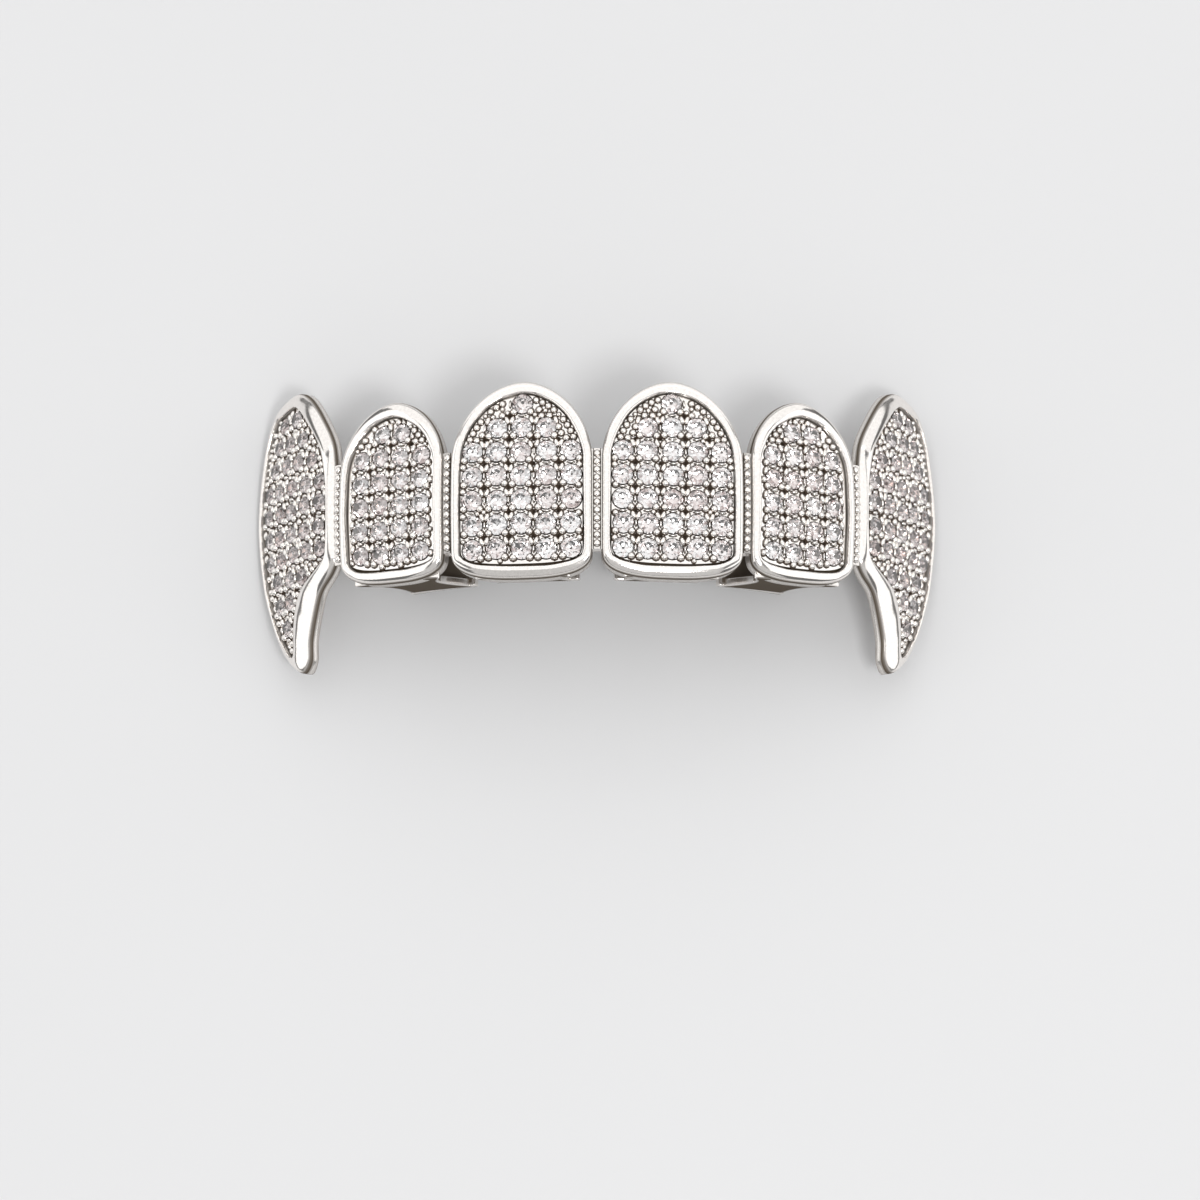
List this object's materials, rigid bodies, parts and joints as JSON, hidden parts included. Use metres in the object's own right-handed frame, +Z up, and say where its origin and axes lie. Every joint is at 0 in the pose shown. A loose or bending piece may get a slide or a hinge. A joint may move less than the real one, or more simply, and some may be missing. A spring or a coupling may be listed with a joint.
{
  "type": "fang tooth grill",
  "caption": "Upper fang grill: hollow tooth caps in polished white metal, paved with small round clear stones and joined by beaded bridges and a band behind the teeth.",
  "frame": {"origin": "middle of the bounding box on the surface that the grill lies on", "axes": "+X across the mouth to the right as seen from the front, +Y to the gums with the fangs pointing to -Y, +Z up, out of the front of the teeth"},
  "size_m": [0.0416, 0.0176, 0.0119],
  "materials": {
    "white_metal": "mirror polish",
    "pave_stones": "clear cut stones bead-set in polished white metal"
  },
  "bodies": {
    "root": {"cast_frame": "white_metal", "pave_central_left": "pave_stones", "pave_central_right": "pave_stones", "pave_lateral_left": "pave_stones", "pave_lateral_right": "pave_stones", "pave_fang_left": "pave_stones", "pave_fang_right": "pave_stones"}
  },
  "joints": []
}
